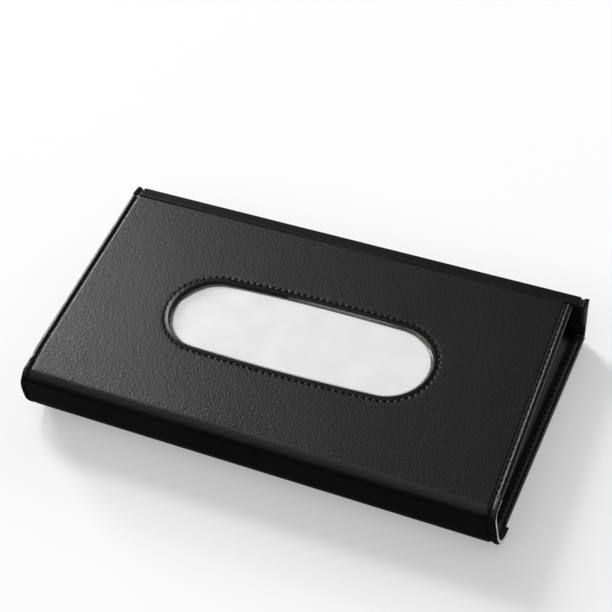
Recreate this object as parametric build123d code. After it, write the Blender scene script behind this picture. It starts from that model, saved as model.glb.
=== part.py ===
from build123d import *
import os

# Tissue holder for a car's sun visor: a slim case of leather-covered boards, folded round one long edge.
# Origin: centre of the resting plane under the straps. X runs along the case, the folded nose is at -Y,
# the closing flap is at +Y and the tissue slot faces +Z.

# Case, over its leather
case_length = 230.0
case_width = 123.4
case_height = 31.5
cover_shortfall = 6.0
back_shortfall = 4.9
nose_top_radius = 5.2
nose_bottom_radius = 14.1
crease_setback = 5.1
nose_low_shortfall = 4.2
flap_bottom_gap = 0.6
flap_strip = 6.0
flap_strip_drop = 0.6

# Layers of a covered panel
leather = 0.9
board = 1.2
lining = 0.3
stiffener = 1.2
turn_in = 8.0
edge_roll = 0.8
lay_gap = 0.1
crease_gap = 0.2
board_back_gap = 1.5
stiffener_end_setback = 1.0
stiffener_top_setback = 0.3
stiffener_low_show = 0.8

# Tissue slot and the binding round it
slot_length = 127.6
slot_width = 41.0
slot_centre_y = -2.2
binding_wall = 0.9
binding_width = 1.6
binding_rise = 0.6
binding_crown_share = 0.6
binding_flange = 4.2
binding_flange_thickness = 0.6

# V-folded side gussets
front_margin = 1.6
back_margin = 1.6
gusset_flange = 4.6
gusset_depth = 6.5
gusset_crease_gap = 1.8
gusset_nose_gap = 0.3

# Upstand inside the flap, and the magnet pairs that hold the flap shut
lip_top_gap = 5.5
lip_thickness = 2.4
lip_foot = 5.5
lip_end_gap = 4.0
lip_flap_gap = 0.3
lip_crown_share = 0.33
magnet_diameter = 12.0
magnet_thickness = 1.1
magnet_end_inset = 35.0
magnet_drop = 16.5
magnet_gap = 0.1

# Elastic straps under the back panel
strap_width = 28.0
strap_thickness = 1.5
strap_free_gap = 0.2
strap_pitch = 130.0
strap_length = 100.0
strap_sewn = 12.0
strap_centre_y = 5.5

# Tissues
stack_end_gap = 8.8
stack_nose_gap = 13.9
stack_lip_gap = 12.6
stack_corner = 6.0
stack_edge = 2.5
sheet_end_inset = 7.0
sheet_side_inset = 8.0
sheet_height = 2.0
sheet_edge = 1.2
sheet_clearance = 0.5

# One overrun serves every cut
overrun = 2.0

# Places worked out from the sizes above
half_length = case_length / 2
half_width = case_width / 2
base = strap_thickness
top = base + case_height
panel_edge = leather + board + leather
panel_core = leather + board + lining
cover_left = -half_length
cover_right = half_length - cover_shortfall
cover_centre_x = (cover_left + cover_right) / 2
back_right_front = half_length - back_shortfall
nose_right_low = half_length - nose_low_shortfall
nose_y = -half_width
back_y = half_width
cover_crease_y = nose_y + nose_top_radius + crease_setback
back_seam_y = nose_y + nose_bottom_radius
flap_hinge_y = back_y - flap_strip
flap_top = top - flap_strip_drop
flap_height = case_height - flap_strip_drop - panel_edge - flap_bottom_gap
spine_depth = leather + stiffener + lining
lip_back_y = back_y - panel_edge - lip_flap_gap
floor_z = base + panel_core
return_z = base + panel_edge
gusset_mid_z = (base + top) / 2
gusset_reach = front_margin + gusset_flange + gusset_depth
lip_left = cover_left + gusset_reach + lip_end_gap
lip_right = cover_right - gusset_reach - lip_end_gap
magnet_x = lip_right - magnet_end_inset
stack_length = cover_right - cover_left - 2 * (gusset_reach + stack_end_gap)
stack_front_y = nose_y + spine_depth + stack_nose_gap
stack_width = lip_back_y - lip_thickness - stack_lip_gap - stack_front_y
stack_centre_y = stack_front_y + stack_width / 2
slot_underside = leather + board + binding_flange_thickness
stack_height = case_height - panel_core - slot_underside - sheet_clearance - sheet_height
sheet_length = stack_length - 2 * sheet_end_inset
sheet_width = stack_width - 2 * sheet_side_inset


def slab(x0, x1, y0, y1, z0, z1):
    """A plate between two corners."""
    block = Box(x1 - x0, y1 - y0, z1 - z0, align=(Align.MIN, Align.MIN, Align.MIN))
    return Pos(x0, y0, z0) * block


def flared_plate(x0, x1_front, x1_back, y0, y1, z0, z1):
    """A plate whose right edge runs from x1_front at y0 to x1_back at y1."""
    corners = [(x0, y0), (x1_front, y0), (x1_back, y1), (x0, y1)]
    outline = make_face(Polyline(*corners, close=True))
    return Pos(0, 0, z0) * extrude(outline, z1 - z0)


def stadium(grow):
    """The slot's outline, grown outwards."""
    return Pos(cover_centre_x, slot_centre_y) * SlotOverall(slot_length + 2 * grow, slot_width + 2 * grow)


def stadium_block(grow, z0, z1):
    """A block with the slot's outline."""
    return Pos(0, 0, z0) * extrude(stadium(grow), z1 - z0)


def side_insets(turned, width):
    """How far a cut stays inside the left, right, front and back edges: past them where none is turned."""
    return [width if side in turned else -overrun for side in ("left", "right", "front", "back")]


def panel_layer(span, turned, width, z0, z1):
    """One flat layer of a panel, held back from the turned edges by the given width."""
    x0, x1_front, x1_back, y0, y1 = span
    left, right, front, back = side_insets(turned, width)
    return flared_plate(x0 + left, x1_front - right, x1_back - right, y0 + front, y1 - back, z0, z1)


def turned_skin(span, turned):
    """Leather folded over a board: outer face at z = 0, returns turned in on the side away from it."""
    body = flared_plate(*span, -panel_edge, 0)
    rolled = [edge for edge in body.edges().group_by(Axis.Z)[-1] if edge_side(edge, span) in turned]
    body = fillet(rolled, edge_roll)
    body -= panel_layer(span, turned, leather, -leather - board, -leather)
    body -= panel_layer(span, turned, leather + turn_in, -panel_edge - overrun, -leather - board)
    return body


def edge_side(edge, span):
    """Which side of the panel an outline edge lies on."""
    x0, x1_front, x1_back, y0, y1 = span
    place = edge @ 0.5
    distances = {
        "left": abs(place.X - x0),
        "right": abs(place.X - (x1_front + x1_back) / 2),
        "front": abs(place.Y - y0),
        "back": abs(place.Y - y1),
    }
    return min(distances, key=distances.get)


def inner_sheet(span, turned, width, z0, z1, short_back=0.0):
    """A board or lining that lies inside a turned skin with a small gap all round."""
    x0, x1_front, x1_back, y0, y1 = span
    hold = {side: lay_gap for side in ("left", "right", "front", "back")}
    for side in turned:
        hold[side] = width + lay_gap
    return flared_plate(
        x0 + hold["left"],
        x1_front - hold["right"],
        x1_back - hold["right"],
        y0 + hold["front"],
        y1 - hold["back"] - short_back,
        z0,
        z1,
    )


def covered_panel(span, turned, short_back=0.0):
    """Skin, board and lining of one panel, with the outer face at z = 0."""
    skin = turned_skin(span, turned)
    core = inner_sheet(span, turned, leather, -leather - board, -leather, short_back)
    liner = inner_sheet(span, turned, leather + turn_in, -panel_core, -leather - board)
    return skin, core, liner


def front_panel():
    """The cover's front panel, with the slot cut through its three layers."""
    span = (cover_left, cover_right, cover_right, cover_crease_y + crease_gap, flap_hinge_y - crease_gap)
    skin, core, liner = covered_panel(span, ("left", "right"), short_back=board_back_gap)
    skin -= stadium_block(binding_wall, -panel_edge - overrun, overrun)
    core -= stadium_block(binding_wall + lay_gap, -panel_edge - overrun, overrun)
    liner -= stadium_block(binding_flange + lay_gap, -panel_edge - overrun, overrun)
    return [Pos(0, 0, top) * layer for layer in (skin, core, liner)]


def slot_binding():
    """Rolled leather edge of the slot: a raised rim, a wall through the panel and a sewn flange below."""
    under = -leather - board
    rim = stadium_block(binding_width, 0, binding_rise) - stadium_block(0, -overrun, overrun)
    crown = rim.edges().group_by(Axis.Z)[-1]
    rim = fillet(crown, binding_rise * binding_crown_share)
    wall = stadium_block(binding_wall - lay_gap / 2, under, 0) - stadium_block(0, under - overrun, overrun)
    flange = stadium_block(binding_flange, under - binding_flange_thickness, under)
    flange -= stadium_block(0, under - overrun, overrun)
    return Pos(0, 0, top) * (rim + wall + flange)


def back_panel():
    """The back panel: its right edge flares out from the nose to the flap, past the front panel's edge."""
    span = (-half_length, back_right_front, half_length, back_seam_y, back_y)
    layers = covered_panel(span, ("left", "right", "back"))
    return [Pos(0, 0, base) * mirror(layer, about=Plane.XY) for layer in layers]


def flap_panel():
    """The closing flap: a strip hinged along the front panel and a boarded wall down to the back panel."""
    span = (-half_length, half_length, half_length, 0, flap_height)
    skin, core, liner = covered_panel(span, ("left", "right", "front", "back"))
    for x in (-magnet_x, magnet_x):
        hole = Cylinder(magnet_diameter / 2 + magnet_gap, 2 * panel_edge)
        core -= Pos(x, magnet_drop - flap_strip_drop, -panel_edge) * hole
    place = Pos(0, back_y, flap_top) * Rot(-90, 0, 0)
    skin, core, liner = (place * layer for layer in (skin, core, liner))
    return flap_strip_leather() + skin, core, liner


def flap_strip_leather():
    """The flap's unboarded strip, which slopes down from the front panel to the wall's rolled corner."""
    section = [
        (flap_hinge_y, top),
        (back_y - edge_roll, flap_top),
        (back_y - edge_roll, flap_top - leather),
        (flap_hinge_y, top - leather),
    ]
    face = Plane.YZ * make_face(Polyline(*section, close=True))
    return Pos(-half_length, 0, 0) * extrude(face, case_length)


def flap_magnet(x):
    """A disc magnet in the flap's board."""
    disc = Cylinder(magnet_diameter / 2, magnet_thickness)
    return Pos(x, back_y - leather - board / 2, top - magnet_drop) * Rot(90, 0, 0) * disc


def nose_region(depth):
    """The case's YZ outline at a depth below its outer face, as a block past both ends."""
    height = case_height - 2 * depth
    width = case_width - depth + overrun
    face = Pos(nose_y + depth, base + depth) * Rectangle(width, height, align=(Align.MIN, Align.MIN))
    front = face.vertices().group_by(Axis.X)[0].sort_by(Axis.Y)
    face = fillet(front[0], nose_bottom_radius - depth)
    high = face.vertices().group_by(Axis.Y)[-1].sort_by(Axis.X)[0]
    face = fillet(high, nose_top_radius - depth)
    return Plane.YZ * face


def nose_layer(depth, thickness, x_left, x_top, x_low):
    """One layer of the folded nose, from the cover's crease to the back seam, with a slanted right end."""
    band = nose_region(depth) - nose_region(depth + thickness)
    band = Pos(x_left, 0, 0) * extrude(band, case_length + overrun)
    upper = nose_half(x_top, x_low, gusset_mid_z, top + overrun, cover_crease_y)
    lower = nose_half(x_top, x_low, base - overrun, gusset_mid_z, back_seam_y)
    return band & (upper + lower)


def nose_half(x_top, x_low, z0, z1, y1):
    """A block between two heights, up to y1, whose right end leans from x_low at the base to x_top."""
    lean = (x_low - x_top) / case_height
    right = [x_top + lean * (top - z) for z in (z0, z1)]
    left = cover_left - overrun
    corners = [(left, z0), (right[0], z0), (right[1], z1), (left, z1)]
    face = Plane.XZ * make_face(Polyline(*corners, close=True))
    return Pos(0, y1, 0) * extrude(face, y1 - nose_y + overrun)


def leaf_section(points, side, y):
    """The XZ section of a gusset leaf: a strip one leather thick, on the inside of its fold line."""
    fold = [Vector(x, z) for x, z in points]
    runs = [(fold[i + 1] - fold[i]).normalized() for i in range(len(fold) - 1)]
    inner = []
    for i, corner in enumerate(fold):
        turn = runs[max(i - 1, 0)] + runs[min(i, len(runs) - 1)]
        normal = Vector(turn.Y, -turn.X) * side
        inner.append(corner + normal * (2 * leather / normal.length ** 2))
    outline = [(v.X, v.Y) for v in fold + inner[::-1]]
    return Pos(0, y, 0) * (Plane.XZ * make_face(Polyline(*outline, close=True)))


def gusset_leaf(edge_front, edge_back, margin, side):
    """A leaf on the back panel: a flange sewn to the margin and a slope in to the V's fold."""
    crease = (cover_right if side > 0 else cover_left) - side * gusset_reach
    sections = []
    for edge, y in ((edge_front, nose_y + spine_depth), (edge_back, lip_back_y)):
        outer = edge - side * margin
        heel = outer - side * gusset_flange
        points = [(outer, return_z), (heel, return_z), (crease, gusset_mid_z - gusset_crease_gap / 2)]
        sections.append(leaf_section(points, side, y))
    return loft(sections, ruled=True)


def lower_gusset(side):
    """The leaf on the back panel, running into the nose."""
    edge_front = back_right_front if side > 0 else -half_length
    leaf = gusset_leaf(edge_front, side * half_length, back_margin, side)
    room = extrude(nose_region(spine_depth), 2 * case_length)
    return leaf & (Pos(-case_length, gusset_nose_gap, 0) * room)


def upper_gusset(side):
    """The leaf under the front panel, from its crease to the flap: the lower one's mirror image."""
    edge = cover_right if side > 0 else cover_left
    leaf = gusset_leaf(edge, edge, front_margin, side)
    leaf = mirror(leaf, about=Plane.XY.offset(gusset_mid_z))
    return leaf & slab(-case_length, case_length, cover_crease_y + crease_gap, back_y, base, top)


def closure_lip():
    """Upstand sewn to the back panel behind the flap, with a pocket for each magnet."""
    y0 = lip_back_y - lip_thickness
    wall = slab(lip_left, lip_right, y0, lip_back_y, return_z, top - panel_edge - lip_top_gap)
    wall = fillet(wall.edges().filter_by(Axis.X).group_by(Axis.Z)[-1], lip_thickness * lip_crown_share)
    foot = slab(lip_left, lip_right, lip_back_y - lip_foot, lip_back_y, return_z, return_z + leather)
    body = wall + foot
    for x in (-magnet_x, magnet_x):
        body -= lip_pocket(x)
    return body


def lip_pocket(x):
    """Blind pocket on the lip's inner face."""
    depth = magnet_thickness + magnet_gap
    pocket = Cylinder(magnet_diameter / 2 + magnet_gap, depth + overrun)
    y = lip_back_y - lip_thickness + depth - (depth + overrun) / 2
    return Pos(x, y, top - magnet_drop) * Rot(90, 0, 0) * pocket


def lip_magnet(x):
    """A disc magnet in the lip's pocket."""
    y = lip_back_y - lip_thickness + magnet_thickness / 2
    return Pos(x, y, top - magnet_drop) * Rot(90, 0, 0) * Cylinder(magnet_diameter / 2, magnet_thickness)


def strap_span(x):
    """The free stretch of one elastic strap."""
    half = strap_length / 2 - strap_sewn - strap_free_gap
    y0 = strap_centre_y - half
    y1 = strap_centre_y + half
    z1 = strap_thickness - strap_free_gap
    return slab(x - strap_width / 2, x + strap_width / 2, y0, y1, 0, z1)


def strap_ends(x):
    """The two ends of one strap, sewn flat to the back panel."""
    ends = []
    for side in (-1, 1):
        outer = strap_centre_y + side * strap_length / 2
        inner = outer - side * strap_sewn
        y0, y1 = sorted((outer, inner))
        ends.append(slab(x - strap_width / 2, x + strap_width / 2, y0, y1, 0, strap_thickness))
    return Compound(children=ends)


def rounded_block(length, width, height, corner, edge, x, y, z):
    """A soft block with rounded corners and a softened upper rim."""
    outline = RectangleRounded(length, width, corner)
    body = extrude(outline, height)
    body = fillet(body.edges().group_by(Axis.Z)[-1], edge)
    return Pos(x, y, z) * body


def tissue_stack():
    """The folded tissues, lying on the back panel's lining."""
    return rounded_block(
        stack_length, stack_width, stack_height, stack_corner, stack_edge,
        cover_centre_x, stack_centre_y, floor_z
    )


def top_tissue():
    """The first tissue, loosened and lying under the slot."""
    return rounded_block(
        sheet_length, sheet_width, sheet_height, stack_corner, sheet_edge,
        cover_centre_x, stack_centre_y, floor_z + stack_height
    )


def build():
    """Every piece under its own name."""
    pieces = {}
    pieces["front_panel_skin"], pieces["front_board"], pieces["front_lining"] = front_panel()
    pieces["back_panel_skin"], pieces["back_board"], pieces["back_lining"] = back_panel()
    pieces["flap_skin"], pieces["flap_board"], pieces["flap_lining"] = flap_panel()
    pieces["slot_binding"] = slot_binding()
    sheet_ends = (
        cover_left + stiffener_end_setback,
        cover_right - stiffener_top_setback,
        nose_right_low + stiffener_low_show,
    )
    lining_ends = (cover_left + stiffener_end_setback, cover_right, cover_right)
    pieces["spine_skin"] = nose_layer(0, leather, cover_left, cover_right, nose_right_low)
    pieces["spine_stiffener"] = nose_layer(leather, stiffener, *sheet_ends)
    pieces["spine_lining"] = nose_layer(leather + stiffener, lining, *lining_ends)
    pieces["closure_lip"] = closure_lip()
    pieces["tissue_stack"] = tissue_stack()
    pieces["top_tissue"] = top_tissue()
    for name, side in (("left", -1), ("right", 1)):
        pieces["gusset_lower_" + name] = lower_gusset(side)
        pieces["gusset_upper_" + name] = upper_gusset(side)
        pieces["flap_magnet_" + name] = flap_magnet(side * magnet_x)
        pieces["lip_magnet_" + name] = lip_magnet(side * magnet_x)
        pieces["strap_" + name] = strap_span(side * strap_pitch / 2)
        pieces["strap_ends_" + name] = strap_ends(side * strap_pitch / 2)
    return pieces


os.makedirs("parts", exist_ok=True)
for name, piece in build().items():
    export_step(piece, os.path.join("parts", name + ".step"))
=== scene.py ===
import math

import bmesh
import bpy
import numpy as np
from mathutils import Matrix, Vector, noise
from mathutils.geometry import delaunay_2d_cdt


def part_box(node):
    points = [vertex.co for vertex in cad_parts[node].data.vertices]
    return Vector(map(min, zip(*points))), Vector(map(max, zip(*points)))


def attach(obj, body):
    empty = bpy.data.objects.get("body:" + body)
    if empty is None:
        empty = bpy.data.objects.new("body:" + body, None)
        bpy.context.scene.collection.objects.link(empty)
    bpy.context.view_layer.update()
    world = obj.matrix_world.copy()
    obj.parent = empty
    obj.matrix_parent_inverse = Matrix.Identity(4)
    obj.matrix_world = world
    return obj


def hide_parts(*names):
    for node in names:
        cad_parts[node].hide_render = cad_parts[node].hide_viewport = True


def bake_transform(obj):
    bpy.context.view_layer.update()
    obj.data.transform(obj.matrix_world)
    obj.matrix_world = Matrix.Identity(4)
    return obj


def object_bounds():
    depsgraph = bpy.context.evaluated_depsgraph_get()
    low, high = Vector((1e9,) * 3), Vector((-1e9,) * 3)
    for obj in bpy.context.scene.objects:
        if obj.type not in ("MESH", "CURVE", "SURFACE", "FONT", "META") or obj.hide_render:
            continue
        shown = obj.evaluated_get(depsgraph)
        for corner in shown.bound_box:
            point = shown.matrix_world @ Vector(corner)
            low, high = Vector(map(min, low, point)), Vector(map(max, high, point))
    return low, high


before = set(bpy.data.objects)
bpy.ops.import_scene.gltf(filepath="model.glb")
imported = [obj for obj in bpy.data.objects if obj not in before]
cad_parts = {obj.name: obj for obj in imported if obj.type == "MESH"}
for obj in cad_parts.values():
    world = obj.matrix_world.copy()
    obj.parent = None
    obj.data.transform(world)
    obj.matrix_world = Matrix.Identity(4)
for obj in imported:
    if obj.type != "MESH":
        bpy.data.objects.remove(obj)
cad_low, cad_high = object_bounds()

# A car tissue holder: a flat leather case with an oval slot. Sizes are in metres.
MM = 0.001
UP = Vector((0, 0, 1))

# Camera, found from the case's edges in the photograph
CAMERA_YAW = 0.4881
CAMERA_PITCH = 0.8901
CAMERA_ROLL = -0.1301
CAMERA_LENS = 83.52
CAMERA_OFFSET = Vector((1.665, 32.957, 665.97)) * MM

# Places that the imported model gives
cover_low, cover_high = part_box("front_panel_skin")
spine_low, spine_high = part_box("spine_skin")
back_low, back_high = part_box("back_panel_skin")
flap_low, flap_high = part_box("flap_skin")
binding_low, binding_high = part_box("slot_binding")
stack_low, stack_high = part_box("tissue_stack")
sheet_low, sheet_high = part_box("top_tissue")
TOP = cover_high.z
BASE = back_low.z
NOSE_Y = spine_low.y
SEAM_Y = back_low.y
CREASE_Y = cover_low.y
EDGE = cover_high.z - cover_low.z

# Shape of the leather; shares are of a panel's thickness
EDGE_REACH_SHARE = 0.75
EDGE_CROWN_SHARE = 0.4
EDGE_UNDER_SHARE = 0.6
NOSE_TOP_RADIUS = 5.2 * MM
NOSE_BOTTOM_RADIUS = 14.1 * MM
TURN_IN = 8.0 * MM
NOSE_TURN_IN = 0.4 * MM
SOFT_LEATHER = 0.9 * MM
SKIN = 0.35 * MM
SIDE_REACH = 5.0 * MM
SIDE_STEPS = 16
FINE_STEP = 0.3 * MM
FINE_REACH = 4.2 * MM
CREASE_BLEND = 1.5 * MM
STITCH_INSET = 2.9 * MM
GROOVE_DEPTH = 0.85 * MM
GROOVE_WIDTH = 0.8 * MM
SOFTNESS = 0.09 * MM
CORNER_DRAW = 0.9 * MM
NOSE_BULGE = 1.4 * MM
BACK_SHORTFALL = 4.9 * MM
FLAP_SKIN = 0.3 * MM
FLAP_DROP = 1.0 * MM
FLAP_CORNER = 0.9 * MM
FLAP_BOARD_START = 2.5 * MM
GAP = 0.05 * MM

# The slot: the binding's flange stands this far outside it
BINDING_FLANGE = 4.2 * MM
BINDING_WALL = 0.9 * MM
ROLL_WIDTH = 1.95 * MM
ROLL_CREST = 0.25 * MM
ROLL_RISE = 0.22 * MM
ROLL_DROP = 0.27 * MM
ROLL_STEP = 0.1 * MM
LEDGE_DEPTH = 1.3 * MM
LEDGE_REACH = 0.3 * MM
SLOT_STITCH = 2.45 * MM
VALLEY = 0.08 * MM
VALLEY_WIDTH = 0.25 * MM
PULL = 0.1 * MM
PULL_REACH = 1.3 * MM
PIT = 0.38 * MM
PIT_WIDTH = 0.5 * MM
WINDOW_X = 15 * MM
WINDOW_Y = 13 * MM
slot_centre = (binding_low + binding_high) / 2
SLOT_RADIUS = (binding_high.y - binding_low.y) / 2 - BINDING_FLANGE
SLOT_HALF = (binding_high.x - binding_low.x) / 2 - BINDING_FLANGE - SLOT_RADIUS
SLOT_RING = 4 * SLOT_HALF + 2 * math.pi * (SLOT_RADIUS + SLOT_STITCH)

# How the sewn slot departs from a true oval, in mm and per mm from its centre, and its reach
SLOT_SHIFT = 0.85
SLOT_SHORTER = 0.0133
SLOT_SKEW = 0.017
SLOT_BULGE = 0.5
SLOT_BULGE_FADE = 0.00055
SETTLE_FULL = 5 * MM
SETTLE_END = 12 * MM

# Gussets
GUSSET_MARGIN = 1.6 * MM
GUSSET_FLANGE = 4.6 * MM
GUSSET_DEPTH = 6.5 * MM
GUSSET_SKIN = 0.8 * MM
GUSSET_BULGE = 0.6 * MM
FLANGE_STITCH = 3.1 * MM

# Surface and light levels
LEATHER_SPECULAR = 0.2
# Painted sheen and shade over the bend to the nose: copies of the one leather with more gloss where the bend
# starts, then less and less, so that the nose reads dark; tilt in degrees at which a copy starts, its
# roughness and specular
NOSE_SHEEN_AND_SHADE = [(3, 0.42, 0.26), (24, 0.5, 0.3), (50, 0.46, 0.1), (58, 0.42, 0.03), (66, 0.4, 0.004)]
# Black of the leather, and the floor's lift to white near the case and at a distance from it
BLACK = (0.005, 0.005, 0.0053)
LIFT_NEAR = 0.35
LIFT_FAR = 0.8
LIFT_REACH = 0.07
WORLD_LIGHT = 0.08
FLOOR_SIZE = 6.0
WALL_HEIGHT = 0.4
# Soft boxes: place, aim, size and power
LIGHTS = {
    "key": ((-1.58, 1.21, 1.98), (0, 0, 0.02), (0.55, 0.55), 33),
    "left_strip": ((-1.98, 1.17, 0.7), (0, 0, 0.02), (0.5, 0.9), 46),
    "back_top": ((-0.7, 1.58, 2.42), (0, 0, 0.02), (1.54, 1.76), 6.5),
    "overhead": ((0, -0.4, 2.6), (0, 0, 0.02), (1.8, 1.6), 14),
    "front_top": ((-0.6, -1.75, 1.9), (0, 0, 0.02), (2.4, 1.6), 10),
    "right_low": ((1.72, 1.23, 0.5), (0.05, 0, 0.02), (1.0, 0.8), 8),
}

# Tissues: how the first one stands up in the slot, and the layers of the pile
TISSUE_RISE = 2.3 * MM
TISSUE_TRENCH = 0.9 * MM
TISSUE_FLANK = 0.7 * MM
TISSUE_GAP = 0.4 * MM
TISSUE_END_GAP = 0.2 * MM
TISSUE_BACK_GAP = 0.9 * MM
TISSUE_FINE_X = 0.42 * MM
TISSUE_FINE_Y = 0.4 * MM
PILE_LAYERS = 26
PILE_CORNER = 6 * MM

# Straps
STRAP_RIBS = 14
RIB_HEIGHT = 0.07 * MM

# Stitches
STITCH_PITCH = 3.15 * MM
STITCH_LENGTH = 2.1 * MM
THREAD = 0.75 * MM
EDGE_STITCH_LENGTH = 2.9 * MM
EDGE_THREAD = 1.05 * MM
SLOT_STITCH_LENGTH = 1.5 * MM
SLOT_THREAD = 0.95 * MM
SUNK = 0.2 * MM
EDGE_SUNK = 0.35 * MM
SLOT_SUNK = 0.33 * MM


# Meshes

def add_object(name, data):
    """An object of the scene."""
    obj = bpy.data.objects.new(name, data)
    bpy.context.scene.collection.objects.link(obj)
    return obj


def make_mesh(name, verts, faces, material, smooth=True):
    """A mesh object from points and faces."""
    mesh = bpy.data.meshes.new(name)
    mesh.from_pydata([tuple(v) for v in verts], [], faces)
    mesh.validate()
    for polygon in mesh.polygons:
        polygon.use_smooth = smooth
    mesh.materials.append(material)
    return add_object(name, mesh)


def orient(obj, inside_out=None, weld=False):
    """Makes a mesh's normals agree, and turns them where a test says so. It can weld the points first."""
    work = bmesh.new()
    work.from_mesh(obj.data)
    if weld:
        bmesh.ops.remove_doubles(work, verts=work.verts, dist=MM / 100)
        loose = [v for v in work.verts if not v.link_faces]
        bmesh.ops.delete(work, geom=loose, context="VERTS")
    bmesh.ops.recalc_face_normals(work, faces=work.faces)
    if inside_out and inside_out(work.faces):
        bmesh.ops.reverse_faces(work, faces=work.faces)
    work.to_mesh(obj.data)
    work.free()
    return obj


def top_down(faces):
    """Whether the highest face looks down."""
    return max(faces, key=lambda f: f.calc_center_median().z).normal.z < 0


def thicken(obj, thickness):
    """Gives a sheet its thickness, on the side away from its normals."""
    solid = obj.modifiers.new("thickness", "SOLIDIFY")
    solid.thickness = thickness
    solid.offset = -1
    graph = bpy.context.evaluated_depsgraph_get()
    graph.update()
    mesh = bpy.data.meshes.new_from_object(obj.evaluated_get(graph), depsgraph=graph)
    obj.modifiers.clear()
    obj.data = mesh
    return obj


def grid_faces(rows, columns, skip=None):
    """Quads of a grid whose points run row by row."""
    faces = []
    for i in range(rows - 1):
        for j in range(columns - 1):
            if skip and skip(i, j):
                continue
            a = i * columns + j
            faces.append((a, a + 1, a + columns + 1, a + columns))
    return faces


def loft(name, loops, material, cap=True):
    """A closed body through closed loops with equal counts of points."""
    count = len(loops[0])
    verts = [p for loop in loops for p in loop]
    faces = []
    for i in range(len(loops) - int(cap)):
        a, b = i * count, (i + 1) % len(loops) * count
        for j in range(count):
            k = (j + 1) % count
            faces.append((a + j, a + k, b + k, b + j))
    if cap:
        faces.append(tuple(range(count)))
        faces.append(tuple(range(len(verts) - count, len(verts))))
    return orient(make_mesh(name, verts, faces, material))


def rounded_loop(a0, a1, b0, b1, corner, steps):
    """Points of a rectangle with round corners, in its own plane."""
    points = []
    centres = [(a1 - corner, b1 - corner), (a0 + corner, b1 - corner)]
    centres += [(a0 + corner, b0 + corner), (a1 - corner, b0 + corner)]
    for k, (a, b) in enumerate(centres):
        for i in range(steps):
            angle = math.pi / 2 * (k + i / (steps - 1))
            points.append((a + corner * math.cos(angle), b + corner * math.sin(angle)))
    return points


def dip(distance):
    """Depth of a stitched groove at a distance from the edge."""
    return GROOVE_DEPTH * math.exp(-(((distance - STITCH_INSET) / GROOVE_WIDTH) ** 2))


def ripple(x, y, size_x, size_y, layer):
    """Smooth noise whose waves have a given size in mm."""
    return noise.noise(Vector((x / (size_x * MM), y / (size_y * MM), layer)))


def softness(x, y):
    """The slight unevenness of leather drawn over a board."""
    return SOFTNESS * ripple(x, y, 34, 34, 0.0)


def smooth_step(value, low, high):
    """0 below low, 1 above high and smooth in between."""
    t = min(max((value - low) / (high - low), 0), 1)
    return t * t * (3 - 2 * t)


# Profiles of the folded leather

def arc(cy, cz, radius, start, end, count):
    """Points and outward directions on an arc in YZ, between two angles in degrees from +Y towards +Z."""
    points = []
    for i in range(count):
        angle = math.radians(start + (end - start) * i / (count - 1))
        direction = Vector((0, math.cos(angle), math.sin(angle)))
        points.append((Vector((0, cy, cz)) + direction * radius, direction))
    return points


def cover_profile():
    """The cover's outer line from the flap's hinge over the top and round the nose to the back seam."""
    points = [(Vector((0, y, TOP)), UP) for y in top_rows()]
    y1 = NOSE_Y + NOSE_TOP_RADIUS
    points += arc(y1, TOP - NOSE_TOP_RADIUS, NOSE_TOP_RADIUS, 90, 180, 12)[1:]
    z1, z2 = TOP - NOSE_TOP_RADIUS, BASE + NOSE_BOTTOM_RADIUS
    for i in range(1, 6):
        points.append((Vector((0, NOSE_Y, z1 + (z2 - z1) * i / 6)), Vector((0, -1, 0))))
    points += arc(SEAM_Y, z2, NOSE_BOTTOM_RADIUS, 180, 270, 20)
    return points


def top_rows():
    """Rows of the front panel's top, from the back to the nose, two of them at the slot's window."""
    low, high = slot_window()[1]
    back = list(np.linspace(cover_high.y, high, 22))
    middle = list(np.linspace(high, low, 27))
    front = list(np.linspace(low, NOSE_Y + NOSE_TOP_RADIUS, 10))
    return back + middle[1:] + front[1:]


def slot_window():
    """The rectangle of the front panel in which the mesh follows the slot."""
    reach_x = SLOT_HALF + SLOT_RADIUS + WINDOW_X
    reach_y = SLOT_RADIUS + WINDOW_Y
    x, y = slot_centre.x, slot_centre.y
    return (x - reach_x, x + reach_x), (y - reach_y, y + reach_y)


def side_columns(thickness, turn):
    """Across one turned end: distance in from the edge, depth, and whether it lies on the outer face."""
    reach, under = thickness * EDGE_REACH_SHARE, thickness * EDGE_UNDER_SHARE
    crown = thickness * EDGE_CROWN_SHARE
    columns = [(under + turn * (1 - i / 4), thickness, False) for i in range(5)]
    for i in range(1, 6):
        angle = math.pi / 2 * i / 6
        columns.append((under * (1 - math.sin(angle)), crown + (thickness - crown) * math.cos(angle), False))
    for i in range(10):
        angle = math.pi / 2 * i / 10
        columns.append((reach * (1 - math.cos(angle)), crown * (1 - math.sin(angle)), True))
    columns += [(reach + (SIDE_REACH - reach) * i / SIDE_STEPS, 0.0, True) for i in range(SIDE_STEPS + 1)]
    return columns


def right_edge(z):
    """The cover's right edge, which leans outwards on its way down round the nose."""
    return cover_high.x + (spine_high.x - cover_high.x) * (TOP - z) / (TOP - BASE)


def left_edge(point):
    """The cover's left edge, drawn in at the front corner and standing out lower down at the nose."""
    drop = TOP - point.z
    draw = smooth_step(CREASE_Y + 8 * MM - point.y, 0, 12 * MM) * (1 - smooth_step(drop, MM, 8 * MM))
    bulge = smooth_step(drop, 2 * MM, 13 * MM) * (1 - smooth_step(drop, 21 * MM, 30 * MM))
    return cover_low.x + CORNER_DRAW * draw - NOSE_BULGE * bulge


def across(left, right, thickness, turn, inner):
    """A row across a panel with turned ends: places, depths, and distances from the edge on the face."""
    side = side_columns(thickness, turn)
    row = [(left + a, depth, a if outer else None) for a, depth, outer in side]
    row += [(x, 0.0, min(x - left, right - x)) for x in inner]
    return row + [(right - a, depth, a if outer else None) for a, depth, outer in side[::-1]]


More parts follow.
